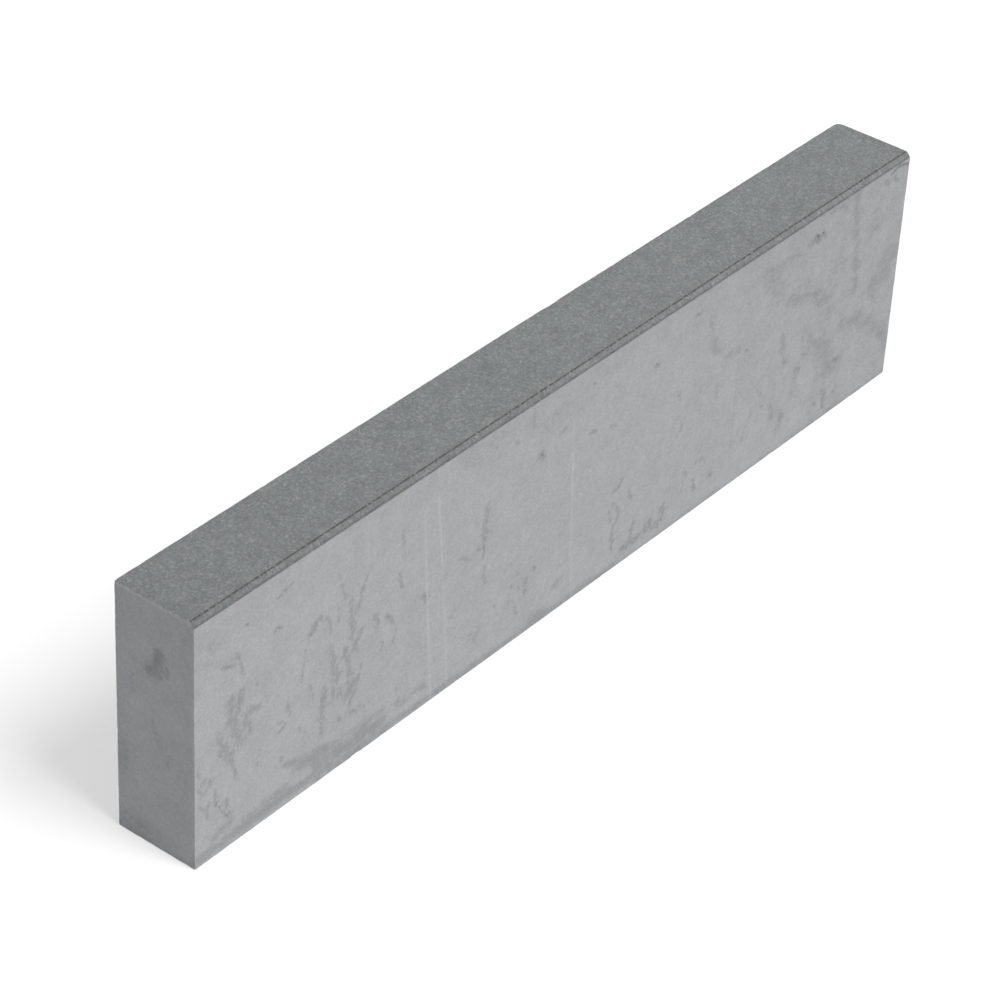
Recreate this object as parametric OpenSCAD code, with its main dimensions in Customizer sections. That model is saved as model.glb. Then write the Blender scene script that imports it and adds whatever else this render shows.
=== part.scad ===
// Straight concrete edging kerb, cast in one piece and standing on its bed face.
// X runs along the stone, the chamfered front face looks towards -Y, and Z points up.
// The origin is the middle of the bed face.

/* [Kerb] */
// Length of the stone, end to end
kerb_l = 1000; // [250:10:1200]
// Thickness of the stone, front face to back face
kerb_w = 85; // [60:1:200]
// Height of the stone, bed face to top
kerb_h = 250; // [150:5:400]

/* [Chamfer on the front top edge] */
// How far the chamfer reaches back across the top
chamfer_run = 5; // [2:0.5:30]
// How far the chamfer reaches down the front face
chamfer_drop = 5; // [2:0.5:30]

/* [Arrises] */
// Radius that the edges left square by the mould are eased to
arris_r = 2; // [0.5:0.5:5]
// Smoothness of the eased edges
$fn = 48; // [16:4:96]

/* [Hidden] */

concrete_grey = [0.65, 0.66, 0.665];
half_w = kerb_w / 2;

// Section through the stone, with y across it and z up
section = [
    [-half_w, 0],
    [half_w, 0],
    [half_w, kerb_h],
    [-half_w + chamfer_run, kerb_h],
    [-half_w, kerb_h - chamfer_drop]
];

// What easing takes off a square corner at the origin that opens towards +x and +y
module corner_waste() {
    difference() {
        square(arris_r);
        translate([arris_r, arris_r]) circle(arris_r);
    }
}

// An x by y rectangle on its middle, with all four corners eased
module eased_rectangle(x, y) {
    difference() {
        square([x, y], center = true);
        for (side_x = [0, 1], side_y = [0, 1])
            mirror([side_x, 0]) mirror([0, side_y])
                translate([-x / 2, -y / 2]) corner_waste();
    }
}

// The kerb's section with its three square corners eased: the chamfer keeps its sharp arrises
module eased_section() {
    difference() {
        polygon(section);
        translate([-half_w, 0]) corner_waste();
        translate([half_w, 0]) mirror([1, 0]) corner_waste();
        translate([half_w, kerb_h]) mirror([1, 0]) mirror([0, 1]) corner_waste();
    }
}

// The stone is what its section, its plan and its front view have in common
module kerb_stone() {
    color(concrete_grey)
        intersection() {
            rotate([90, 0, 90]) linear_extrude(kerb_l, center = true) eased_section();
            linear_extrude(kerb_h) eased_rectangle(kerb_l, kerb_w);
            translate([0, 0, kerb_h / 2])
                rotate([90, 0, 0]) linear_extrude(kerb_w, center = true) eased_rectangle(kerb_l, kerb_h);
        }
}

kerb_stone();
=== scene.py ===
import math

import bmesh
import bpy
import numpy as np
from mathutils import Matrix, Vector


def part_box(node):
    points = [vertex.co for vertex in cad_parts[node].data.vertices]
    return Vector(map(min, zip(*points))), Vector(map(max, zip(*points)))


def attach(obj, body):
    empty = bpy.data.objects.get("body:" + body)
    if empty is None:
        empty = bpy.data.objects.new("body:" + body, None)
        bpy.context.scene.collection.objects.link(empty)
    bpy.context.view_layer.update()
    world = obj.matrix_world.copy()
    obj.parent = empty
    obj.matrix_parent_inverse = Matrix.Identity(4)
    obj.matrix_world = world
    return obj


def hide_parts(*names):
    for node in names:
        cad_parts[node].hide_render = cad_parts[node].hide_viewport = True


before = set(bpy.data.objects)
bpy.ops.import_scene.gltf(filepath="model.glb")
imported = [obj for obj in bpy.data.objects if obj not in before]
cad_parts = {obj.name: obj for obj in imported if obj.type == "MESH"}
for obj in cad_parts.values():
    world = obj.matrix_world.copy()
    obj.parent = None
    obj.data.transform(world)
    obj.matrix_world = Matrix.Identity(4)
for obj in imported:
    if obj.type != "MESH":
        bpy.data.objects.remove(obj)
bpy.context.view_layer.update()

# Cast block
# The kerb is one block of vibrated concrete, turned out of a steel mould and stood on its bed face.
# Its section is a tall rectangle with a chamfer along the front top edge; the mould eases the other arrises.
# A shallow seam runs along the chamfer's upper arris, where the mould's filler strip met its lid.
low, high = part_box("kerb_stone")
length, width, height = high - low
half_length, half_width = length / 2, width / 2

chamfer_run = 0.005
chamfer_drop = 0.005
arris_radius = 0.0007
end_arris_radius = 0.0006
seam_lip = 0.0005
seam_depth = 0.0006
seam_start, seam_full = 0.0015, 0.0045
seam_least_share = 0.1
seam_smoothing = 5

grid = 0.0029
close_ring_steps = np.array((1.5, 0.5))
arc_steps = 4
chamfer_steps = 3
long_steps = round(length / grid)
tall_steps = round(height / grid)
deep_steps = round(width / grid)


def straight(start, end, steps):
    """Points from start up to, and not including, end."""
    shares = np.arange(steps)[:, None] / steps
    return np.array(start) + shares * (np.array(end) - np.array(start))


def eased_corner(y, z, radius, first_degrees):
    """Points of a quarter turn about a centre, from an angle downwards, without its last point."""
    turn = np.radians(first_degrees - 90 * np.arange(arc_steps) / arc_steps)
    return np.stack([y + radius * np.cos(turn), z + radius * np.sin(turn)], axis=1)


def section(inset, depth):
    """The outline in y and z, moved inwards by inset, with the seam cut to a depth at the chamfer's top."""
    radius = arris_radius - inset
    front, back = -half_width + inset, half_width - inset
    top = height - inset
    slope = math.hypot(chamfer_run, chamfer_drop)
    chamfer_foot = (front, height - chamfer_drop - inset * (slope - chamfer_drop) / chamfer_run)
    head_y = -half_width + (chamfer_run * (chamfer_drop - inset) + inset * slope) / chamfer_drop
    lower_lip = np.array((head_y, top)) - seam_lip * np.array((chamfer_run, chamfer_drop)) / slope
    upper_lip = np.array((head_y + seam_lip, top))
    seam_floor = (lower_lip + upper_lip) / 2 - (0, depth)
    return np.concatenate([
        straight((front, arris_radius), chamfer_foot, tall_steps),
        straight(chamfer_foot, lower_lip, chamfer_steps),
        [lower_lip, seam_floor],
        straight(upper_lip, (half_width - arris_radius, top), deep_steps),
        eased_corner(half_width - arris_radius, height - arris_radius, radius, 90),
        straight((back, height - arris_radius), (back, arris_radius), tall_steps),
        eased_corner(half_width - arris_radius, arris_radius, radius, 0),
        straight((half_width - arris_radius, inset), (-half_width + arris_radius, inset), deep_steps),
        eased_corner(-half_width + arris_radius, arris_radius, radius, -90),
    ])


# The rings of the block run along X: eased at both ends, evenly spaced between them, and closer by the ends.
turns = np.radians(90 * np.arange(arc_steps + 1) / arc_steps)
end_reach = half_length - end_arris_radius * (1 - np.sin(turns))
end_inset = end_arris_radius * (1 - np.cos(turns))
middle = np.linspace(-end_reach[0], end_reach[0], long_steps + 1)[1:-1]
close_rings = end_reach[0] - grid * close_ring_steps
middle = np.sort(np.concatenate([middle, close_rings, -close_rings]))
ring_x = np.concatenate([-end_reach[::-1], middle, end_reach])
ring_inset = np.concatenate([end_inset[::-1], np.zeros(len(middle)), end_inset])

# The seam's depth wanders along the block, and dies out before the ends.
rng = np.random.default_rng(41)
seam_draws = rng.uniform(seam_least_share, 1.0, len(ring_x) + seam_smoothing - 1)
seam_wander = np.convolve(seam_draws, np.ones(seam_smoothing) / seam_smoothing, mode="valid")
seam_wander *= np.interp(half_length - abs(ring_x), (seam_start, seam_full), (0, 1))
rings = np.array([
    np.insert(section(inset, seam_depth * share), 0, x, axis=1)
    for x, inset, share in zip(ring_x, ring_inset, seam_wander)
])
ring_count, ring_size = rings.shape[:2]
points = rings.reshape(-1, 3).tolist()
numbers = np.arange(ring_count * ring_size).reshape(ring_count, ring_size)
following = np.roll(numbers, -1, axis=1)
skin_quads = np.stack([numbers[:-1], following[:-1], following[1:], numbers[1:]], axis=2)
faces = skin_quads.reshape(-1, 4).tolist()


def strip(side, edge):
    """Faces between one straight side of a ring and the edge of the grid that fills it."""
    faces.extend([a, b, d, c] for a, b, c, d in zip(side, side[1:], edge, edge[1:]))


def fan(turn, corner):
    """Triangles from the turn of a ring to one corner of the grid that fills it."""
    faces.extend([a, b, corner] for a, b in zip(turn, turn[1:]))


# Each end is filled by a grid of the same spacing, with strips along its sides and fans at its corners.
front_side = np.arange(tall_steps + 1)
top_side = tall_steps + chamfer_steps + 2 + np.arange(deep_steps + 1)
back_side = top_side[-1] + arc_steps + np.arange(tall_steps + 1)
bed_side = back_side[-1] + arc_steps + np.arange(deep_steps + 1)
grid_margin = 0.0022
for end in (0, ring_count - 1):
    ring, ring_numbers = rings[end], numbers[end].tolist()
    up = np.linspace(0, 1, tall_steps + 1)[:, None]
    across = np.linspace(0, 1, deep_steps + 1)[None, :]
    y = ring[bed_side[::-1], 1] * (1 - up) + ring[top_side, 1] * up
    z = ring[front_side, 2][:, None] * (1 - across) + ring[back_side[::-1], 2][:, None] * across
    y = y * (1 - grid_margin / half_width)
    z = height / 2 + (z - height / 2) * (1 - 2 * grid_margin / height)
    filled = np.arange(y.size).reshape(y.shape) + len(points)
    points.extend(np.stack([np.full(y.size, ring[0, 0]), y.ravel(), z.ravel()], axis=1).tolist())
    cells = np.stack([filled[:-1, :-1], filled[1:, :-1], filled[1:, 1:], filled[:-1, 1:]], axis=2)
    faces.extend(cells.reshape(-1, 4).tolist())
    strip([ring_numbers[i] for i in front_side], filled[:, 0].tolist())
    strip([ring_numbers[i] for i in top_side], filled[-1].tolist())
    strip([ring_numbers[i] for i in back_side], filled[::-1, -1].tolist())
    strip([ring_numbers[i] for i in bed_side], filled[0, ::-1].tolist())
    fan(ring_numbers[front_side[-1]:top_side[0] + 1], int(filled[-1, 0]))
    fan(ring_numbers[top_side[-1]:back_side[0] + 1], int(filled[-1, -1]))
    fan(ring_numbers[back_side[-1]:bed_side[0] + 1], int(filled[0, -1]))
    fan(ring_numbers[bed_side[-1]:] + ring_numbers[:1], int(filled[0, 0]))

block_mesh = bpy.data.meshes.new("cast_kerb")
block_mesh.from_pydata(points, [], faces)
shaper = bmesh.new()
shaper.from_mesh(block_mesh)
bmesh.ops.recalc_face_normals(shaper, faces=shaper.faces)
shaper.to_mesh(block_mesh)
shaper.free()
kerb = bpy.data.objects.new("cast_kerb", block_mesh)
bpy.context.scene.collection.objects.link(kerb)


# Worn skin
# The mould's faces leave a faint wave and grain, and handling has knocked the arrises and the corners.
# Air trapped against the steel leaves small round holes, open to the surface.
def node(tree, kind, inputs=(), **options):
    """Adds one node, with its options set and its sockets filled by values or links."""
    made = tree.nodes.new(kind)
    for name, value in options.items():
        setattr(made, name, value)
    for key, value in dict(inputs).items():
        if isinstance(value, bpy.types.NodeSocket):
            tree.links.new(value, made.inputs[key])
        else:
            made.inputs[key].default_value = value
    return made


def calc(tree, operation, *values):
    """The result of one Math node."""
    return node(tree, "ShaderNodeMath", enumerate(values), operation=operation).outputs[0]


def ease(tree, value, start, end, first=0.0, last=1.0):
    """Goes smoothly from first to last while the value goes from start to end."""
    inputs = {"Value": value, "From Min": start, "From Max": end, "To Min": first, "To Max": last}
    return node(tree, "ShaderNodeMapRange", inputs, interpolation_type="SMOOTHSTEP").outputs["Result"]


def cloud(tree, place, grain, detail=2.0, roughness=0.5):
    """Noise from 0 to 1 with lumps of about the grain's size."""
    inputs = {"Vector": place, "Scale": 1 / grain, "Detail": detail, "Roughness": roughness}
    return node(tree, "ShaderNodeTexNoise", inputs).outputs[0]


def about(tree, noise, amount):
    """Noise moved to run evenly either side of nought, by an amount."""
    return calc(tree, "MULTIPLY", calc(tree, "SUBTRACT", noise, 0.5), amount)


def product(tree, first, *others):
    """Several numbers multiplied together."""
    for other in others:
        first = calc(tree, "MULTIPLY", first, other)
    return first


def total(tree, first, *others):
    """Several numbers added together."""
    for other in others:
        first = calc(tree, "ADD", first, other)
    return first


arris_reach = 0.0045
chamfer_reach = 1.6
chamfer_wear = 0.25
near_top_corner, far_top_corner, foot_corner = 0.0018, 0.0034, 0.0012
corner_fade = 2.5

spots = np.array(points)
from_faces = np.stack([
    half_length - abs(spots[:, 0]),
    half_width - abs(spots[:, 1]),
    np.minimum(spots[:, 2], height - spots[:, 2]),
], axis=1)
by_front = spots[:, 1] < -half_width + chamfer_reach * chamfer_run
on_chamfer = by_front & (spots[:, 2] > height - chamfer_reach * chamfer_drop)
near_arris = np.clip(1 - np.sort(from_faces, axis=1)[:, 1] / arris_reach, 0, 1)
near_arris *= np.where(on_chamfer, chamfer_wear, 1)
arris_numbers = block_mesh.attributes.new("near_arris", "FLOAT", "POINT")
arris_numbers.data.foreach_set("value", near_arris.astype(np.float32))

# Each corner is worn to a ball, which dies out along the three arrises that meet there.
top_corner = np.interp(spots[:, 0], (-half_length, half_length), (near_top_corner, far_top_corner))
corner_radius = np.where(spots[:, 2] > height / 2, top_corner, foot_corner)
ball = corner_radius * np.clip(1 - from_faces.max(axis=1) / (corner_fade * corner_radius), 0, 1)
inside_ball = np.clip(ball[:, None] - from_faces, 0, None)
away = np.linalg.norm(inside_ball, axis=1)
beyond = np.clip(1 - ball / np.maximum(away, 1e-9), 0, 1)
outwards = np.sign(spots - (0, 0, height / 2))
spots -= outwards * inside_ball * beyond[:, None]
block_mesh.vertices.foreach_set("co", spots.astype(np.float32).ravel())

# Air holes that stand in given places on the front: distance from the near end, height and radius, in
# millimetres. Their centres are lifted a little off the face, so that no edge of a hole's wall lies in it.
mm = 0.001
front_holes = [
    (61, 215, 1.4), (98, 190, 1.7), (284, 119, 1.8), (357, 44, 1.1), (438, 185, 1.8), (510, 224, 0.9),
    (602, 199, 1.6), (578, 70, 1.1), (642, 146, 1.3), (660, 225, 1.3), (678, 30, 1.4), (704, 28, 1.5),
    (745, 147, 1.5), (810, 102, 1.2), (848, 223, 2.6), (857, 223, 1.8), (875, 23, 1.3), (38, 186, 1.2),
    (253, 157, 1.1), (236, 124, 1.2), (904, 61, 1.3), (404, 65, 1.0), (382, 55, 0.9),
]
hole_lift = 0.00012
hole_shape = (1.0, 0.55, 1.0)
holes_mesh = bpy.data.meshes.new("front_holes")
hole_places = [(-half_length + x * mm, -half_width - hole_lift, z * mm) for x, z, _ in front_holes]
holes_mesh.from_pydata(hole_places, [], [])
hole_radii = holes_mesh.attributes.new("hole_radius", "FLOAT", "POINT")
hole_radii.data.foreach_set("value", [radius * mm for _, _, radius in front_holes])
holes = bpy.data.objects.new("front_holes", holes_mesh)
bpy.context.scene.collection.objects.link(holes)

weather = bpy.data.node_groups.new("worn_skin", "GeometryNodeTree")
panel = weather.interface
panel.new_socket("Geometry", in_out="INPUT", socket_type="NodeSocketGeometry")
panel.new_socket("Geometry", in_out="OUTPUT", socket_type="NodeSocketGeometry")
weather_sizes = {
    "Face Wave": 0.0003,
    "Skin Grain": 0.00022,
    "Arris Wear": 0.0002,
    "Chip Depth": 0.0006,
    "Void Radius": 0.0021,
    "Void Spacing": 0.03,
    "Voids per Square Metre": 170.0,
}
void_seed = 5
sockets = {
    name: panel.new_socket(name, in_out="INPUT", socket_type="NodeSocketFloat")
    for name in weather_sizes
}
seed_socket = panel.new_socket("Seed", in_out="INPUT", socket_type="NodeSocketInt")
holes_socket = panel.new_socket("Front Holes", in_out="INPUT", socket_type="NodeSocketObject")
concrete_socket = panel.new_socket("Concrete", in_out="INPUT", socket_type="NodeSocketMaterial")

given = node(weather, "NodeGroupInput").outputs
place = node(weather, "GeometryNodeInputPosition").outputs[0]
outward = node(weather, "GeometryNodeInputNormal").outputs[0]
facing = node(weather, "ShaderNodeSeparateXYZ", {0: outward}).outputs


def stored(name):
    """A number kept on each point of the mesh."""
    return node(weather, "GeometryNodeInputNamedAttribute", {"Name": name}, data_type="FLOAT").outputs[0]


# The bed stays flat. Wear acts along the arrises alone, as a patchy rub and a few chips.
wave_size, skin_grain_size, rub_size, chip_size = 0.17, 0.014, 0.012, 0.035
least_rub = 0.25
arris = stored("near_arris")
off_bed = calc(weather, "GREATER_THAN", facing["Z"], -0.9)
wave = about(weather, cloud(weather, place, wave_size, 1.0), given["Face Wave"])
wave = product(weather, wave, off_bed)
skin_grain = about(weather, cloud(weather, place, skin_grain_size, 3.0), given["Skin Grain"])
skin_grain = product(weather, skin_grain, off_bed)
rub = total(weather, ease(weather, cloud(weather, place, rub_size, 3.0, 0.6), 0.42, 0.7), least_rub)
rub = product(weather, rub, arris, given["Arris Wear"])
chip = ease(weather, cloud(weather, place, chip_size, 3.0, 0.6), 0.6, 0.72)
chip = product(weather, chip, arris, given["Chip Depth"])
sunk = calc(weather, "MULTIPLY", total(weather, wave, skin_grain, rub, chip), -1.0)
offset = node(weather, "ShaderNodeVectorMath", {0: outward, "Scale": sunk}, operation="SCALE").outputs[0]
worn = node(weather, "GeometryNodeSetPosition", {"Geometry": given["Geometry"], "Offset": offset}).outputs[0]

# Voids open anywhere but on the sandy top, the arrises and the front, whose holes have their own places.
least_void, most_void = (0.25, 0.25, 0.3), (1.0, 1.0, 0.6)
off_top = calc(weather, "LESS_THAN", facing["Z"], 0.3)
off_front = calc(weather, "GREATER_THAN", facing["Y"], -0.5)
off_arris = calc(weather, "LESS_THAN", arris, 0.01)
scattered = node(weather, "GeometryNodeDistributePointsOnFaces", {
    "Mesh": worn,
    "Distance Min": given["Void Spacing"],
    "Density Max": given["Voids per Square Metre"],
    "Density Factor": product(weather, off_top, off_front, off_arris),
    "Seed": given["Seed"],
}, distribute_method="POISSON").outputs
spread_inputs = {"Min": least_void, "Max": most_void, "Seed": given["Seed"]}
spread = node(weather, "FunctionNodeRandomValue", spread_inputs, data_type="FLOAT_VECTOR").outputs[0]
bubble_inputs = {"Radius": given["Void Radius"], "Subdivisions": 2}
lift_inputs = {0: scattered["Normal"], "Scale": hole_lift}
lift = node(weather, "ShaderNodeVectorMath", lift_inputs, operation="SCALE").outputs[0]
lifted_inputs = {"Geometry": scattered["Points"], "Offset": lift}
bubbles = node(weather, "GeometryNodeInstanceOnPoints", {
    "Points": node(weather, "GeometryNodeSetPosition", lifted_inputs).outputs[0],
    "Instance": node(weather, "GeometryNodeMeshIcoSphere", bubble_inputs).outputs[0],
    "Rotation": scattered["Rotation"],
    "Scale": spread,
}).outputs[0]
placed = node(weather, "GeometryNodeObjectInfo", {"Object": given["Front Holes"]}).outputs["Geometry"]
flat_inputs = {0: hole_shape, "Scale": stored("hole_radius")}
flattened = node(weather, "ShaderNodeVectorMath", flat_inputs, operation="SCALE").outputs[0]
pits = node(weather, "GeometryNodeInstanceOnPoints", {
    "Points": placed,
    "Instance": node(weather, "GeometryNodeMeshIcoSphere", {"Radius": 1.0, "Subdivisions": 3}).outputs[0],
    "Scale": flattened,
}).outputs[0]
gathered = node(weather, "GeometryNodeJoinGeometry")
weather.links.new(bubbles, gathered.inputs[0])
weather.links.new(pits, gathered.inputs[0])
all_holes = node(weather, "GeometryNodeRealizeInstances", {0: gathered.outputs[0]}).outputs[0]
cut_inputs = {"Mesh 1": worn, "Mesh 2": all_holes}
voided = node(weather, "GeometryNodeMeshBoolean", cut_inputs, operation="DIFFERENCE", solver="MANIFOLD")
cast = node(weather, "GeometryNodeRealizeInstances", {0: voided.outputs[0]}).outputs[0]
cast = node(weather, "GeometryNodeSetMaterial", {"Geometry": cast, "Material": given["Concrete"]}).outputs[0]
node(weather, "NodeGroupOutput", {"Geometry": cast})

crease_angle = math.radians(34)
concrete = bpy.data.materials.new("cast_concrete")
weathering = kerb.modifiers.new("worn_skin", "NODES")
weathering.node_group = weather
for name, socket in sockets.items():
    weathering[socket.identifier] = weather_sizes[name]
weathering[seed_socket.identifier] = void_seed
weathering[holes_socket.identifier] = holes
weathering[concrete_socket.identifier] = concrete
skin_mesh = bpy.data.meshes.new_from_object(kerb.evaluated_get(bpy.context.evaluated_depsgraph_get()))
kerb.modifiers.remove(weathering)
kerb.data = skin_mesh
bpy.data.objects.remove(holes)
skin_mesh.materials.clear()
skin_mesh.materials.append(concrete)
skin_mesh.polygons.foreach_set("material_index", np.zeros(len(skin_mesh.polygons), np.int32))
skin_mesh.shade_smooth()
skin_mesh.set_sharp_from_angle(angle=crease_angle)

# Marks
# Mould oil and laitance leave dark streaks and flecks on the front, mostly drawn downwards.
# Damp from the ground darkens the foot, and soft clouds of it stay higher up, most of them on the far third.

# Each mark is its breadth, its strength, and the stops of its path on the face, with lengths in millimetres.
front_streaks = [
    (4, 1.3, [(33, 188), (46, 183)]),
    (6, 1.05, [(50, 191), (55, 180), (57, 168)]),
    (14, 1.08, [(43, 150), (41, 128)]),
    (12, 1.08, [(56, 152), (50, 132)]),
    (4, 0.7, [(56, 152), (69, 162)]),
    (5, 0.8, [(73, 160), (74, 148)]),
    (19, 0.96, [(46, 128), (50, 112), (54, 102)]),
    (12, 0.98, [(58, 122), (64, 108)]),
    (14, 0.93, [(62, 127), (75, 126)]),
    (9, 0.98, [(66, 115), (67, 104)]),
    (11, 0.88, [(27, 124), (32, 101)]),
    (18, 1.03, [(35, 106), (42, 93)]),
    (8, 0.98, [(43, 92), (48, 68)]),
    (7, 0.88, [(2, 106), (5, 92)]),
    (9, 0.93, [(6, 82), (14, 86), (20, 80)]),
    (9, 0.88, [(20, 80), (12, 74), (6, 78)]),
    (7, 0.83, [(4, 66), (10, 56), (16, 46)]),
    (9, 0.93, [(16, 60), (14, 50)]),
    (8, 0.98, [(23, 68), (26, 56), (29, 48)]),
    (7, 1.28, [(38, 54), (38, 46)]),
    (7, 1.15, [(36, 36), (43, 33)]),
    (5, 1.1, [(75, 66), (81, 60)]),
    (5, 1.15, [(103, 55), (105, 52)]),
    (5, 0.65, [(100, 223), (113, 225)]),
    (4, 1.1, [(60, 215), (63, 214)]),
    (4, 1.0, [(94, 190), (100, 193), (103, 188), (96, 188)]),
    (5, 1.1, [(110, 108), (114, 93)]),
    (5, 1.25, [(101, 93), (105, 90)]),
    (5, 1.25, [(101, 83), (107, 86)]),
    (11, 1.08, [(139, 162), (148, 172)]),
    (7, 0.76, [(134, 154), (127, 118)]),
    (7, 1.0, [(138, 108), (143, 94)]),
    (5, 1.15, [(124, 73), (126, 70)]),
    (5, 0.9, [(129, 67), (133, 63)]),
    (12, 0.93, [(161, 133), (168, 118)]),
    (18, 1.03, [(168, 116), (172, 98)]),
    (12, 0.88, [(172, 98), (167, 78)]),
    (12, 0.93, [(157, 94), (153, 68), (154, 49)]),
    (6, 0.85, [(172, 202), (179, 182), (181, 174)]),
    (5, 0.9, [(172, 172), (173, 150)]),
    (7, 0.98, [(159, 166), (163, 157), (164, 150)]),
    (7, 1.08, [(207, 183), (200, 166), (196, 154)]),
    (14, 0.98, [(189, 168), (190, 142), (191, 130)]),
    (11, 1.03, [(194, 118), (203, 131)]),
    (9, 0.93, [(196, 120), (197, 111)]),
    (11, 1.13, [(182, 122), (186, 106)]),
    (9, 1.03, [(187, 106), (188, 90)]),
    (18, 1.08, [(191, 86), (191, 70)]),
    (7, 1.23, [(190, 68), (189, 60)]),
    (8, 0.98, [(203, 93), (197, 78)]),
    (11, 0.83, [(176, 84), (184, 68)]),
    (7, 1.13, [(176, 55), (176, 50)]),
    (11, 0.78, [(190, 50), (212, 47)]),
    (11, 1.1, [(219, 136), (223, 124)]),
    (7, 1.3, [(234, 127), (242, 117)]),
    (4, 0.9, [(243, 115), (247, 106), (242, 93)]),
    (5, 0.95, [(230, 102), (230, 92)]),
    (6, 1.2, [(250, 162), (254, 145)]),
    (5, 0.85, [(252, 206), (255, 176)]),
    (11, 1.15, [(283, 121), (286, 115)]),
    (6, 1.1, [(249, 40), (251, 38)]),
    (5, 0.8, [(319, 78), (322, 75)]),
    (5, 1.0, [(301, 42), (303, 40)]),
    (13, 1.0, [(365, 170), (363, 150), (363, 136)]),
    (8, 1.1, [(352, 130), (362, 128)]),
    (8, 1.1, [(362, 120), (362, 117)]),
    (7, 1.0, [(365, 108), (363, 98), (366, 88)]),
    (7, 0.95, [(408, 62), (416, 55)]),
    (8, 1.0, [(426, 60), (425, 44)]),
    (6, 0.95, [(410, 38), (414, 28)]),
    (6, 0.95, [(404, 65), (405, 64)]),
    (7, 1.1, [(437, 66), (437, 64)]),
    (5, 0.95, [(381, 55), (383, 54)]),
    (6, 0.75, [(412, 76), (415, 72)]),
    (6, 0.6, [(397, 48), (401, 49), (404, 42)]),
    (14, 0.85, [(348, 39), (355, 37)]),
    (12, 1.5, [(437, 186), (440, 184)]),
    (6, 1.2, [(400, 218), (404, 216)]),
    (6, 1.1, [(506, 174), (512, 174), (516, 171)]),
    (7, 1.05, [(537, 166), (544, 163)]),
    (6, 1.6, [(600, 200), (604, 198)]),
    (4, 0.95, [(508, 225), (511, 224)]),
    (6, 1.3, [(657, 226), (664, 224)]),
    (8, 1.1, [(462, 197), (470, 196)]),
    (7, 1.1, [(546, 88), (557, 91), (562, 97)]),
    (6, 0.95, [(552, 76), (544, 66), (549, 56)]),
    (7, 0.95, [(554, 72), (562, 58), (553, 50)]),
    (5, 1.05, [(552, 48), (550, 36), (553, 24)]),
    (4, 0.8, [(551, 33), (564, 32)]),
    (4, 1.2, [(573, 77), (579, 68), (573, 71)]),
    (9, 1.0, [(641, 149), (642, 144)]),
    (6, 0.95, [(652, 118), (649, 105), (641, 101)]),
    (16, 0.9, [(469, 27), (474, 30)]),
    (10, 1.1, [(569, 16), (575, 14)]),
    (9, 1.05, [(583, 34), (581, 16)]),
    (10, 1.0, [(588, 14), (593, 16)]),
    (8, 1.05, [(602, 24), (605, 17)]),
    (9, 0.9, [(611, 25), (614, 14)]),
    (8, 0.85, [(620, 17), (625, 11)]),
    (8, 1.2, [(625, 27), (631, 33)]),
    (7, 1.15, [(631, 26), (628, 16)]),
    (7, 0.9, [(660, 58), (664, 48), (658, 34)]),
    (7, 1.3, [(676, 37), (680, 24)]),
    (9, 1.1, [(702, 29), (707, 26)]),
    (8, 0.9, [(678, 54), (690, 54), (692, 48)]),
    (5, 0.75, [(680, 212), (686, 201)]),
    (7, 0.95, [(744, 147), (748, 146)]),
    (5, 0.8, [(764, 70), (764, 64)]),
    (6, 0.9, [(781, 67), (784, 66)]),
    (6, 1.05, [(757, 58), (753, 43)]),
    (13, 0.65, [(797, 57), (801, 44)]),
    (11, 0.8, [(812, 107), (814, 98)]),
    (12, 0.7, [(806, 134), (810, 120)]),
    (8, 0.75, [(833, 84), (840, 80), (836, 56)]),
    (7, 0.9, [(816, 45), (818, 28)]),
    (4, 0.8, [(819, 40), (824, 36)]),
    (8, 2.4, [(846, 224), (850, 221)]),
    (6, 2.0, [(857, 224), (859, 222)]),
    (13, 1.0, [(838, 221), (860, 219)]),
    (5, 1.0, [(852, 245), (857, 243)]),
    (5, 0.75, [(868, 241), (889, 239), (896, 230)]),
    (6, 1.4, [(960, 235), (967, 230)]),
    (5, 1.15, [(972, 240), (983, 243), (998, 239)]),
    (8, 1.2, [(976, 234), (981, 228)]),
    (8, 1.1, [(902, 62), (907, 60)]),
    (8, 1.0, [(873, 24), (877, 22)]),
    (9, 0.9, [(889, 32), (891, 12)]),
    (12, 0.7, [(908, 22), (914, 20)]),
]
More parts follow.
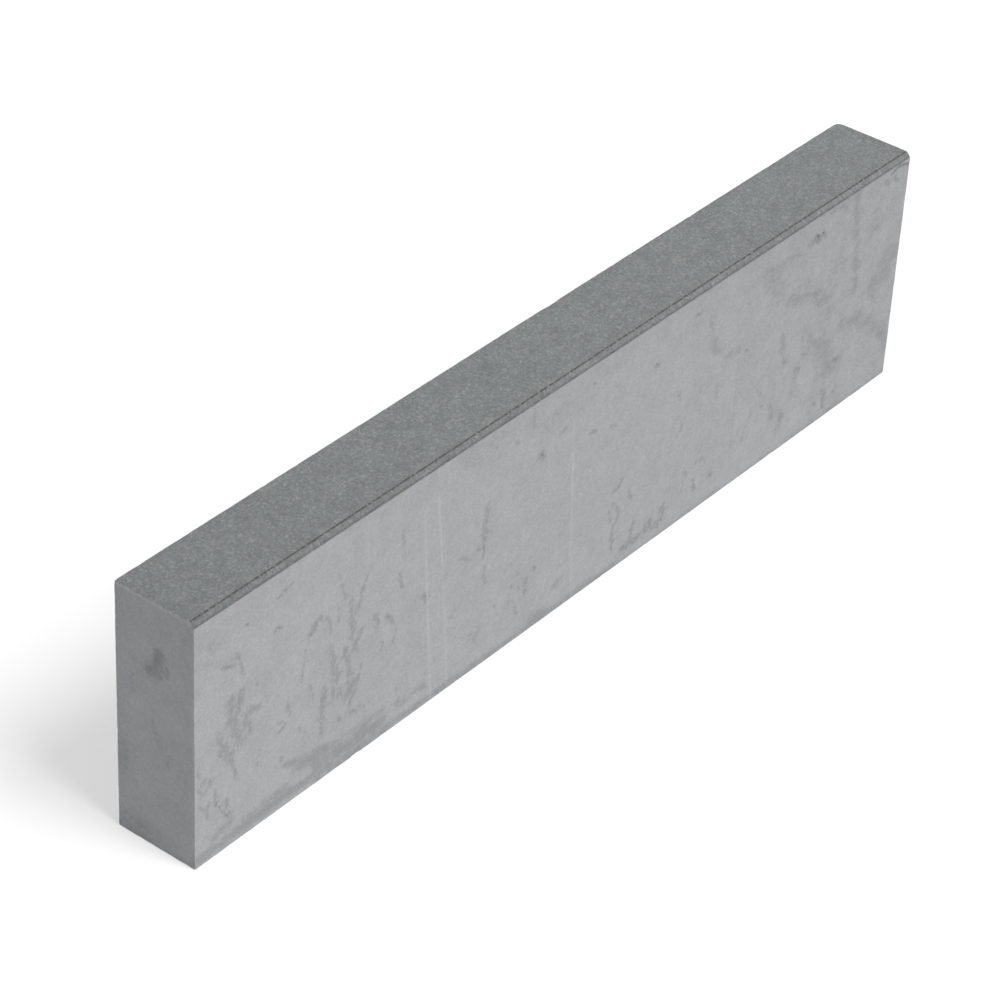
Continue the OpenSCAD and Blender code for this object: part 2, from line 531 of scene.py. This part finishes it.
front_damp = [
    (10, 1.3, [(0, 8), (62, 10)]),
    (10, 1.4, [(62, 11), (165, 10)]),
    (12, 1.0, [(58, 16), (108, 18)]),
    (10, 1.1, [(24, 21), (41, 25)]),
    (8, 1.15, [(109, 43), (126, 38)]),
    (14, 1.3, [(126, 34), (160, 28)]),
    (9, 1.6, [(147, 26), (149, 6)]),
    (15, 1.35, [(150, 19), (176, 19)]),
    (17, 1.5, [(174, 17), (206, 17)]),
    (14, 1.35, [(206, 17), (231, 14)]),
    (9, 1.0, [(160, 30), (192, 27), (231, 27)]),
    (10, 1.05, [(250, 24), (286, 22)]),
    (8, 1.3, [(165, 5), (240, 5)]),
    (8, 1.35, [(240, 6), (333, 5)]),
    (10, 1.1, [(333, 4), (560, 3)]),
    (16, 1.05, [(436, 8), (462, 6)]),
    (9, 0.8, [(560, 1), (1000, 1)]),
    (22, 0.75, [(572, 16), (628, 20)]),
    (34, 0.65, [(338, 238), (372, 240)]),
    (16, 0.4, [(424, 244), (425, 220)]),
    (24, 0.55, [(440, 218), (470, 214)]),
    (24, 0.5, [(520, 232), (545, 228)]),
    (12, 0.99, [(690, 184), (694, 170), (706, 166)]),
    (11, 0.94, [(712, 156), (733, 154)]),
    (8, 0.66, [(681, 210), (692, 190)]),
    (8, 0.83, [(702, 132), (703, 114)]),
    (18, 0.66, [(770, 219), (806, 219)]),
    (16, 0.72, [(820, 218), (832, 208)]),
    (24, 0.94, [(778, 206), (796, 188)]),
    (22, 0.99, [(812, 170), (836, 166), (856, 156)]),
    (24, 0.94, [(868, 146), (884, 130)]),
    (20, 0.94, [(892, 244), (910, 238)]),
    (14, 0.99, [(912, 236), (915, 206), (922, 172), (927, 130)]),
    (22, 0.66, [(884, 176), (900, 172)]),
    (34, 0.94, [(852, 106), (874, 94), (888, 72)]),
    (24, 0.94, [(914, 98), (942, 92)]),
    (22, 0.99, [(946, 84), (968, 72), (986, 52), (999, 30)]),
    (32, 0.94, [(962, 118), (992, 142)]),
    (22, 1.04, [(890, 62), (906, 54)]),
    (16, 0.72, [(890, 40), (893, 14)]),
    (14, 0.66, [(806, 132), (812, 100)]),
    (16, 0.62, [(836, 82), (831, 54)]),
    (16, 0.72, [(797, 58), (800, 44)]),
    (12, 0.66, [(816, 40), (812, 20)]),
    (16, 0.44, [(908, 24), (918, 18)]),
    (14, 0.6, [(722, 222), (762, 220)]),
    (40, 0.45, [(936, 214), (958, 182)]),
    (50, 0.55, [(14, 220), (34, 180)]),
]
end_streaks = [
    (13, 1.7, [(-6, 201), (-4, 194)]),
    (9, 1.6, [(-4, 193), (-2, 185)]),
    (16, 1.6, [(-1, 183), (4, 181)]),
    (8, 1.6, [(-4, 182), (-6, 178)]),
    (4, 1.3, [(-9, 196), (-15, 189)]),
    (4, 1.3, [(-7, 191), (-13, 183)]),
    (5, 0.9, [(-13, 95), (-14, 91)]),
    (6, 0.7, [(22, 168), (28, 158)]),
    (6, 0.7, [(-2, 242), (-5, 238)]),
    (6, 0.7, [(14, 234), (9, 231)]),
]
end_damp = [
    (16, 0.6, [(-5, 200), (3, 181)]),
    (9, 0.7, [(-42, 1), (42, 1)]),
    (26, 0.7, [(36, 12), (14, 14), (-6, 8)]),
    (34, 0.6, [(36, 92), (33, 66)]),
    (22, 0.5, [(24, 168), (19, 156)]),
    (26, 0.45, [(-34, 146), (-40, 128)]),
    (30, 0.5, [(2, 130), (-8, 106)]),
    (20, 0.5, [(-14, 52), (-22, 46)]),
]


def on_front(x, z):
    """A place on the front, from millimetres along it and up it."""
    return -half_length + x * mm, -half_width, z * mm


def on_near_end(y, z):
    """A place on the near end, from millimetres across it and up it."""
    return -half_length, y * mm, z * mm


def on_back(x, z):
    """A place on the back, from millimetres along it and up it, counted from the far end."""
    return half_length - x * mm, half_width, z * mm


def on_far_end(y, z):
    """A place on the far end, from millimetres across it and up it."""
    return half_length, -y * mm, z * mm


# The back and the far end carry the same kinds of mark, strewn in loose clusters.
cluster_low, cluster_high = 50, 200
cluster_counts, cluster_spread = (2, 10), (16, 26)
streak_low, streak_high = 34, 232
streak_breadths, streak_strengths = (4, 14), (0.75, 1.15)
least_fall, most_fall = (-7, 3), (7, 24)
foot_breadth, foot_strength, foot_low, foot_high = 12, 1.25, 1, 13
cloud_low, cloud_high = 30, 225
cloud_breadths, cloud_strengths = (12, 34), (0.5, 1.0)
cloud_turn = np.array((30, 20))
rng = np.random.default_rng(17)


def strewn(clusters, across, foot_stops):
    """Clusters of short streaks that run down a face, soft clouds of damp, and a damp foot that wanders."""
    left, right = across
    streaks = []
    for _ in range(clusters):
        cluster = rng.uniform((left, cluster_low), (right, cluster_high))
        for _ in range(rng.integers(*cluster_counts)):
            x, z = np.clip(rng.normal(cluster, cluster_spread), (left, streak_low), (right, streak_high))
            lean, drop = rng.uniform(least_fall, most_fall)
            breadth, strength = rng.uniform(*streak_breadths), rng.uniform(*streak_strengths)
            streaks.append((breadth, strength, [(x, z), (x + lean, z - drop)]))
    foot = [(x, rng.uniform(foot_low, foot_high)) for x in np.linspace(left, right, foot_stops)]
    damp = [(foot_breadth, foot_strength, foot)]
    for _ in range(clusters):
        stops = [rng.uniform((left, cloud_low), (right, cloud_high))]
        for _ in range(2):
            stops.append(stops[-1] + rng.uniform(-cloud_turn, cloud_turn))
        damp.append((rng.uniform(*cloud_breadths), rng.uniform(*cloud_strengths), stops))
    return streaks, damp


back_streaks, back_damp = strewn(clusters=15, across=(0, length / mm), foot_stops=14)
far_streaks, far_damp = strewn(clusters=3, across=(-half_width / mm, half_width / mm), foot_stops=3)

skin_points = np.empty(3 * len(skin_mesh.vertices), np.float32)
skin_mesh.vertices.foreach_get("co", skin_points)
skin_points = skin_points.reshape(-1, 3)


def legs(place_on, path):
    """The straight legs of a path on a face, as pairs of places."""
    stops = [np.array(place_on(*stop)) for stop in path]
    return zip(stops, stops[1:])


def away_from(start, end):
    """How far each point of the skin is from one straight leg."""
    run = end - start
    share = np.clip((skin_points - start) @ run / (run @ run), 0, 1)
    return np.linalg.norm(skin_points - start - share[:, None] * run, axis=1)


def marked(marks_by_face, reach_share, least_reach):
    """For each point of the skin, 0 away from every mark and up to a mark's strength on its path."""
    found = np.zeros(len(skin_points))
    for place_on, marks in marks_by_face:
        for breadth, strength, path in marks:
            reach = max(breadth * reach_share, least_reach) * mm
            for start, end in legs(place_on, path):
                found = np.maximum(found, strength * np.clip(1 - away_from(start, end) / reach, 0, 1))
    return found


# How far a mark reaches from its path, as a share of its breadth, and the least reach in millimetres.
streak_reach, least_streak = 0.74, 4.2
damp_reach, least_damp = 1.0, 3.7
streaked = marked([
    (on_front, front_streaks),
    (on_near_end, end_streaks),
    (on_back, back_streaks),
    (on_far_end, far_streaks),
], streak_reach, least_streak)
dampened = marked([
    (on_front, front_damp),
    (on_near_end, end_damp),
    (on_back, back_damp),
    (on_far_end, far_damp),
], damp_reach, least_damp)

# Thin lines on the front: strength, and the stops of the path in millimetres.
# Pale lime runs come first, then dark hair lines, whose strength is below nought.
front_lines = [
    (0.45, [(280, 206), (284, 160)]),
    (1.0, [(284, 160), (289, 100), (297, 7)]),
    (1.0, [(298, 212), (307, 134)]),
    (0.4, [(307, 134), (311, 100)]),
    (0.7, [(312, 88), (319, 10)]),
    (0.5, [(482, 196), (484, 160)]),
    (1.0, [(484, 158), (487, 110)]),
    (0.7, [(487, 110), (490, 46)]),
    (0.6, [(492, 44), (494, 8)]),
    (0.35, [(418, 122), (418, 104)]),
    (0.3, [(448, 180), (450, 164)]),
    (0.3, [(297, 244), (297, 233)]),
    (-0.2, [(734, 154), (735, 34)]),
    (-0.2, [(424, 244), (424, 216)]),
    (-1.0, [(972, 240), (983, 243), (998, 239)]),
    (-0.6, [(101, 222), (113, 226)]),
    (-0.3, [(552, 48), (553, 23)]),
    (-0.5, [(27, 50), (38, 34)]),
    (-0.4, [(333, 132), (346, 124)]),
]
# A line is thinner than the mesh's grid, so each point near it keeps its signed distance to one side of it:
# that is exact between the points too, and the line is where it passes through nought.
line_zone = 0.006
no_line = 0.02
line_side = np.full(len(skin_points), no_line)
line_strength = np.zeros(len(skin_points))
for strength, path in front_lines:
    for start, end in legs(on_front, path):
        close = away_from(start, end) < line_zone
        run = (end - start) / np.linalg.norm(end - start)
        reach_to = skin_points[close] - start
        line_side[close] = reach_to[:, 0] * run[2] - reach_to[:, 2] * run[0]
        line_strength[close] = strength

skin_numbers = {
    "streaks": streaked,
    "damp": dampened,
    "line_side": line_side,
    "line_strength": line_strength,
}
for name, values in skin_numbers.items():
    skin_mesh.attributes.new(name, "FLOAT", "POINT").data.foreach_set("value", values.astype(np.float32))

# The map that the finish is baked on: each of the six faces lies flat on it, side by side and at one scale.
centres = np.empty(3 * len(skin_mesh.polygons), np.float32)
skin_mesh.polygons.foreach_get("center", centres)
centres = centres.reshape(-1, 3)
face_sizes = np.empty(len(skin_mesh.polygons), np.int32)
skin_mesh.polygons.foreach_get("loop_total", face_sizes)
corner_points = np.empty(len(skin_mesh.loops), np.int32)
skin_mesh.loops.foreach_get("vertex_index", corner_points)
corner_places = skin_points[corner_points] - np.array(low)
near_end_island, front_island, bed_island, far_end_island, back_island, top_island = range(6)
gap_to_sides = np.concatenate([centres - np.array(low), np.array(high) - centres], axis=1)
corner_sides = np.repeat(np.argmin(gap_to_sides, axis=1), face_sizes)
laid_out = np.empty((len(corner_points), 2), np.float32)
map_gap = 0.012


def lay_out(side, across, up, left, foot, mirrored):
    """Lays one side of the block on the map, with the axes that run across and up it."""
    chosen = corner_sides == side
    along = corner_places[chosen, across]
    laid_out[chosen, 0] = left + ((high - low)[across] - along if mirrored else along)
    laid_out[chosen, 1] = foot + corner_places[chosen, up]


tall_row, deep_row = height + map_gap, width + map_gap
lay_out(front_island, 0, 2, map_gap, map_gap, False)
lay_out(back_island, 0, 2, map_gap, map_gap + tall_row, True)
lay_out(near_end_island, 1, 2, map_gap, map_gap + 2 * tall_row, True)
lay_out(far_end_island, 1, 2, map_gap + deep_row, map_gap + 2 * tall_row, False)
lay_out(top_island, 0, 1, map_gap, map_gap + 3 * tall_row, False)
lay_out(bed_island, 0, 1, map_gap, map_gap + 3 * tall_row + deep_row, True)
laid_out /= length + 2 * map_gap
skin_mesh.uv_layers.new(name="OFBake").uv.foreach_set("vector", laid_out.ravel())

# Concrete
# One grey concrete shows two finishes: a smooth pale skin where it set against the mould, and an open,
# darker, sandy face on the top and the chamfer, which the filler strip and the lid pressed.
formed_colour = (0.389, 0.394, 0.404)
sandy_colour = (0.179, 0.192, 0.191)
warm_grain_colour = (0.265, 0.276, 0.267)
cool_grain_colour = (0.25, 0.267, 0.272)
lime_colour = (0.5, 0.505, 0.51)
seam_colour = (0.088, 0.084, 0.076)


def mixed(tree, share, first, second):
    """One colour gone over to another by a share."""
    made = node(tree, "ShaderNodeMix", {0: share, 6: first, 7: second}, data_type="RGBA")
    return made.outputs[2]


def shaded(tree, colour, factor):
    """A colour made lighter or darker by a factor."""
    return node(tree, "ShaderNodeVectorMath", {0: colour, "Scale": factor}, operation="SCALE").outputs[0]


def stretched(tree, place, x, y, z):
    """Coordinates scaled along each axis."""
    return node(tree, "ShaderNodeVectorMath", {0: place, 1: (x, y, z)}, operation="MULTIPLY").outputs[0]


def attribute(tree, name):
    """A number kept on each point of the mesh."""
    return node(tree, "ShaderNodeAttribute", attribute_name=name).outputs["Fac"]


concrete.use_nodes = True
tree = concrete.node_tree
tree.nodes.clear()
place = node(tree, "ShaderNodeTexCoord").outputs["Object"]
x, y, z = node(tree, "ShaderNodeSeparateXYZ", {0: place}).outputs

# The formed skin is clouded alike at every scale from 30 mm down, and more so towards the far end.
# It is paler towards the near end, and a little darker near the top.
mottle_size, pore_size, broad_size = 0.026, 0.0022, 0.2
near_mottle, far_mottle = 0.5, 0.6
pore_contrast, broad_contrast = 0.44, 0.06
change_per_metre = -0.08
dark_start, dark_full, top_share = height - 0.065, height - 0.012, 0.968
mottle = cloud(tree, place, mottle_size, 5.0, 0.92)
pores = cloud(tree, place, pore_size, 2.0, 0.7)
broad = cloud(tree, place, broad_size, 1.0)
tone = total(
    tree,
    about(tree, mottle, ease(tree, x, 0.1, 0.4, near_mottle, far_mottle)),
    about(tree, pores, pore_contrast),
    about(tree, broad, broad_contrast),
    calc(tree, "MULTIPLY", x, change_per_metre),
    ease(tree, z, dark_start, dark_full, 1.0, top_share),
)

# Streaks break up into lace and flecks, drawn out down the face.
lace_size, lace_squeeze = 0.0042, 0.6
streak_fill = 0.36
least_depth, added_depth = 0.1, 0.11
lace = cloud(tree, stretched(tree, place, 1.0, 1.0, lace_squeeze), lace_size, 3.0, 0.7)
streaks = attribute(tree, "streaks")
filled_lace = calc(tree, "ADD", lace, calc(tree, "MULTIPLY", streaks, streak_fill))
streak_mask = calc(tree, "MULTIPLY", ease(tree, filled_lace, 0.6, 0.84), ease(tree, streaks, 0.0, 0.12))
streak_depth = calc(tree, "ADD", calc(tree, "MULTIPLY", streaks, added_depth), least_depth)
streak_shade = calc(tree, "SUBTRACT", 1.0, calc(tree, "MULTIPLY", streak_mask, streak_depth))

# Damp has a ragged edge, drawn out along the face.
damp_edge_size, damp_squeeze = 0.014, 0.6
damp_raggedness = 2.5
damp_depth = 0.22
damp = attribute(tree, "damp")
damp_edge = cloud(tree, stretched(tree, place, damp_squeeze, 1.0, 1.0), damp_edge_size, 5.0, 0.8)
damp_mask = ease(tree, calc(tree, "ADD", damp, about(tree, damp_edge, damp_raggedness)), 0.22, 1.25)
damp_mask = calc(tree, "MULTIPLY", damp_mask, ease(tree, damp, 0.0, 0.2))
damp_shade = calc(tree, "SUBTRACT", 1.0, calc(tree, "MULTIPLY", damp_mask, damp_depth))

# Lines waver and break off: lime runs are paler than the skin, and hair lines darker.
line_waver = 0.0034
line_outside, line_inside = 0.0025, 0.0006
lime_share, hair_depth = 0.5, 0.3
wavered = calc(tree, "ADD", attribute(tree, "line_side"), about(tree, lace, line_waver))
line_gap = calc(tree, "ABSOLUTE", wavered)
line_weight = calc(tree, "MULTIPLY", attribute(tree, "line_strength"), ease(tree, lace, 0.3, 0.5))
line_shade = calc(tree, "MULTIPLY", ease(tree, line_gap, line_outside, line_inside), line_weight)
lime = calc(tree, "MAXIMUM", line_shade, 0.0)
hair_line = calc(tree, "MINIMUM", line_shade, 0.0)
hair_shade = calc(tree, "ADD", 1.0, calc(tree, "MULTIPLY", hair_line, hair_depth))

# Rubbed arrises are paler. The rim just under the top is lighter by a painted highlight of light from above.
arris_gain, rim_highlight_gain = 1.06, 1.075
rim_start, rim_full = height - 0.0045, height - 0.0015
arris = attribute(tree, "near_arris")
arris_light = ease(tree, calc(tree, "MULTIPLY", arris, mottle), 0.25, 0.6, 1.0, arris_gain)
# Painted highlight: a band of lighter skin just under the top.
painted_rim_highlight = ease(tree, z, rim_start, rim_full, 1.0, rim_highlight_gain)
tone = product(tree, tone, streak_shade, damp_shade, hair_shade, arris_light, painted_rim_highlight)
formed = shaded(tree, formed_colour, tone)
formed = mixed(tree, calc(tree, "MULTIPLY", lime, lime_share), formed, lime_colour + (1.0,))

# The sandy face is on the flat of the top and on the chamfer, out to the end and back arrises.
sandy_edge, sandy_waver = 0.0006, 0.0016
flat_start, flat_full = height - 0.0012, height - 0.0007
slope_head = -half_width + chamfer_run + 0.001
from_end = calc(tree, "SUBTRACT", half_length, calc(tree, "ABSOLUTE", x))
from_back = calc(tree, "SUBTRACT", half_width, y)
inside = calc(tree, "ADD", calc(tree, "MINIMUM", from_end, from_back), about(tree, lace, sandy_waver))
on_flat = ease(tree, z, flat_start, flat_full)
above_foot = calc(tree, "GREATER_THAN", z, height - chamfer_drop)
by_chamfer = calc(tree, "LESS_THAN", y, slope_head)
on_slope = calc(tree, "MULTIPLY", above_foot, by_chamfer)
on_sand = calc(tree, "MAXIMUM", on_flat, on_slope)
sandy = calc(tree, "MULTIPLY", ease(tree, inside, 0.0, sandy_edge), on_sand)

# It has pale grains of a few millimetres in a darker ground, and slow patches.
# The chamfer is blotched and a little darker, and so are the last millimetres before the ends.
sand_size, cell_size, patch_size, blotch_size = 0.003, 0.002, 0.016, 0.0055
cell_share, pale_gain, cell_contrast = 0.16, 0.22, 0.08
patch_contrast, blotch_contrast = 0.38, 0.35
sandy_change_per_metre = 0.1
slope_change, end_change = -0.09, -0.07
end_start, end_full = 0.011, 0.003
sand = cloud(tree, place, sand_size, 2.0, 0.85)
cells = node(tree, "ShaderNodeTexVoronoi", {"Vector": place, "Scale": 1 / cell_size}).outputs
tint = node(tree, "ShaderNodeSeparateColor", {0: cells["Color"]}).outputs
grains = ease(tree, total(tree, sand, calc(tree, "MULTIPLY", tint[0], cell_share)), 0.38, 0.84)
pale_grains = calc(tree, "MULTIPLY", ease(tree, tint[0], 0.82, 0.9), ease(tree, cells["Distance"], 0.6, 0.2))
patches = cloud(tree, place, patch_size, 2.0, 0.6)
blotches = cloud(tree, place, blotch_size, 1.0)
sandy_tone = total(
    tree,
    calc(tree, "MULTIPLY", pale_grains, pale_gain),
    about(tree, patches, patch_contrast),
    about(tree, tint[1], cell_contrast),
    calc(tree, "MULTIPLY", x, sandy_change_per_metre),
    calc(tree, "MULTIPLY", on_slope, about(tree, blotches, blotch_contrast)),
    calc(tree, "MULTIPLY", on_slope, slope_change),
    ease(tree, from_end, end_start, end_full, 0.0, end_change),
    1.0,
)
grain_tint = mixed(tree, tint[2], warm_grain_colour + (1.0,), cool_grain_colour + (1.0,))
sandy_skin = mixed(tree, grains, sandy_colour + (1.0,), grain_tint)
sandy_skin = shaded(tree, sandy_skin, sandy_tone)

# Dirt lies in the seam in dashes, and a thin darker line runs along the chamfer's lower arris.
dash_size = 0.0042
seam_outside, seam_inside, seam_reach_down = 0.001, 0.0003, 0.003
dirt_start, dirt_full = 0.0006, 0.0016
foot_level = height - chamfer_drop + 0.0008
foot_outside, foot_inside, foot_reach_back = 0.0009, 0.0002, 0.002
foot_depth = 0.25
dash_noise = cloud(tree, stretched(tree, place, 1.0, 0.0, 0.0), dash_size, 3.0, 0.7)
dashes = ease(tree, dash_noise, 0.39, 0.53)
seam_gap = calc(tree, "ABSOLUTE", calc(tree, "SUBTRACT", y, -half_width + chamfer_run))
seam_line = ease(tree, seam_gap, seam_outside, seam_inside)
near_top = calc(tree, "GREATER_THAN", z, height - seam_reach_down)
seam = product(tree, seam_line, near_top, dashes, ease(tree, from_end, dirt_start, dirt_full))
foot_gap = calc(tree, "ABSOLUTE", calc(tree, "SUBTRACT", z, foot_level))
by_face = calc(tree, "LESS_THAN", y, -half_width + foot_reach_back)
foot_line = product(tree, ease(tree, foot_gap, foot_outside, foot_inside), by_face, foot_depth)

colour = mixed(tree, sandy, formed, sandy_skin)
colour = shaded(tree, colour, calc(tree, "SUBTRACT", 1.0, foot_line))
colour = mixed(tree, seam, colour, seam_colour + (1.0,))

# The formed skin is smoother than the sandy face, and smoothest where it is damp.
least_roughness, most_roughness, sandy_roughness = 0.8, 0.92, 0.95
damp_polish = 0.1
roughness = ease(tree, mottle, 0.35, 0.65, least_roughness, most_roughness)
roughness = calc(tree, "SUBTRACT", roughness, calc(tree, "MULTIPLY", damp_mask, damp_polish))
roughness = calc(tree, "MAXIMUM", roughness, calc(tree, "MULTIPLY", sandy, sandy_roughness))

# Pores and grains stand in fine relief, given in millimetres.
formed_pores, sandy_pores, sandy_grains = 0.14, 0.18, 0.4
formed_relief = calc(tree, "MULTIPLY", pores, formed_pores)
grain_relief = calc(tree, "MULTIPLY", grains, sandy_grains)
sandy_relief = total(tree, grain_relief, calc(tree, "MULTIPLY", pores, sandy_pores))
relief_inputs = {0: sandy, 2: formed_relief, 3: sandy_relief}
relief = node(tree, "ShaderNodeMix", relief_inputs, data_type="FLOAT").outputs[0]
bump = node(tree, "ShaderNodeBump", {"Strength": 1.0, "Distance": mm, "Height": relief}).outputs[0]
surface = node(tree, "ShaderNodeBsdfPrincipled", {
    "Base Color": colour,
    "Roughness": roughness,
    "Specular IOR Level": 0.3,
    "Normal": bump,
}).outputs[0]
node(tree, "ShaderNodeOutputMaterial", {"Surface": surface})

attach(kerb, "root")
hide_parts("kerb_stone")

# Studio
# The stone stands on a white floor under soft light: a broad key from above the front and an even surround.
# Floor and surround look white to the camera, and light the stone by less. The floor keeps its shadow.
key_direction = Vector((0.05, -0.55, 0.83)).normalized()
key_strength = 2.53
key_spread = math.radians(25)
surround_strength = 0.38
floor_reach = 6.0
floor_level = -0.0002
floor_glow = 0.5
pure_white = (1, 1, 1, 1)
bounce_colour = (0.64, 0.64, 0.64, 1)

floor_mesh = bpy.data.meshes.new("studio_floor")
floor_signs = [(-1, -1), (1, -1), (1, 1), (-1, 1)]
floor_corners = [(x * floor_reach, y * floor_reach, floor_level) for x, y in floor_signs]
floor_mesh.from_pydata(floor_corners, [], [(0, 1, 2, 3)])
floor = bpy.data.objects.new("studio_floor", floor_mesh)
bpy.context.scene.collection.objects.link(floor)


def seen_directly(tree):
    """1 for rays from the camera, gloss or glass, and 0 for light that only bounces."""
    path = node(tree, "ShaderNodeLightPath").outputs
    gloss = calc(tree, "MAXIMUM", path["Is Glossy Ray"], path["Is Transmission Ray"])
    return calc(tree, "MAXIMUM", path["Is Camera Ray"], gloss)


paper = bpy.data.materials.new("white_floor")
paper.use_nodes = True
tree = paper.node_tree
tree.nodes.clear()
lit = node(tree, "ShaderNodeBsdfDiffuse", {"Color": pure_white}).outputs[0]
white = node(tree, "ShaderNodeEmission", {"Color": pure_white, "Strength": 1.0}).outputs[0]
shown = node(tree, "ShaderNodeMixShader", {0: floor_glow, 1: lit, 2: white}).outputs[0]
bounced = node(tree, "ShaderNodeBsdfDiffuse", {"Color": bounce_colour}).outputs[0]
both = node(tree, "ShaderNodeMixShader", {0: seen_directly(tree), 1: bounced, 2: shown}).outputs[0]
node(tree, "ShaderNodeOutputMaterial", {"Surface": both})
floor_mesh.materials.append(paper)

key_lamp = bpy.data.lights.new("key", "SUN")
key_lamp.energy = key_strength
key_lamp.angle = key_spread
key = bpy.data.objects.new("key", key_lamp)
key.rotation_euler = key_direction.to_track_quat("Z", "Y").to_euler()
bpy.context.scene.collection.objects.link(key)

world = bpy.data.worlds.new("surround")
bpy.context.scene.world = world
world.use_nodes = True
tree = world.node_tree
tree.nodes.clear()
lighting_inputs = {"Color": pure_white, "Strength": surround_strength}
lighting = node(tree, "ShaderNodeBackground", lighting_inputs).outputs[0]
white = node(tree, "ShaderNodeBackground", {"Color": pure_white, "Strength": 1.0}).outputs[0]
both = node(tree, "ShaderNodeMixShader", {0: seen_directly(tree), 1: lighting, 2: white}).outputs[0]
node(tree, "ShaderNodeOutputWorld", {"Surface": both})

# Camera
# A long lens stands off the near end, and looks down on the front face and the top.
# Its place, turn and lens come from a fit to the straight edges that the stone shows from there.
aim = Vector((-0.039, 0.0173, 0.0978))
camera_distance = 3.169
sensor_width, focal_length = 36, 128.78
azimuth, elevation, roll = math.radians(-52.985), math.radians(35.227), math.radians(3.178)

camera_data = bpy.data.cameras.new("camera")
camera_data.sensor_width = sensor_width
camera_data.lens = focal_length
camera = bpy.data.objects.new("camera", camera_data)
turned = (
    Matrix.Rotation(azimuth, 4, "Z")
    @ Matrix.Rotation(math.pi / 2 - elevation, 4, "X")
    @ Matrix.Rotation(roll, 4, "Z")
)
camera.matrix_world = Matrix.Translation(aim + turned @ Vector((0, 0, camera_distance))) @ turned
bpy.context.scene.collection.objects.link(camera)
bpy.context.scene.camera = camera
bpy.context.scene.view_settings.view_transform = "Standard"
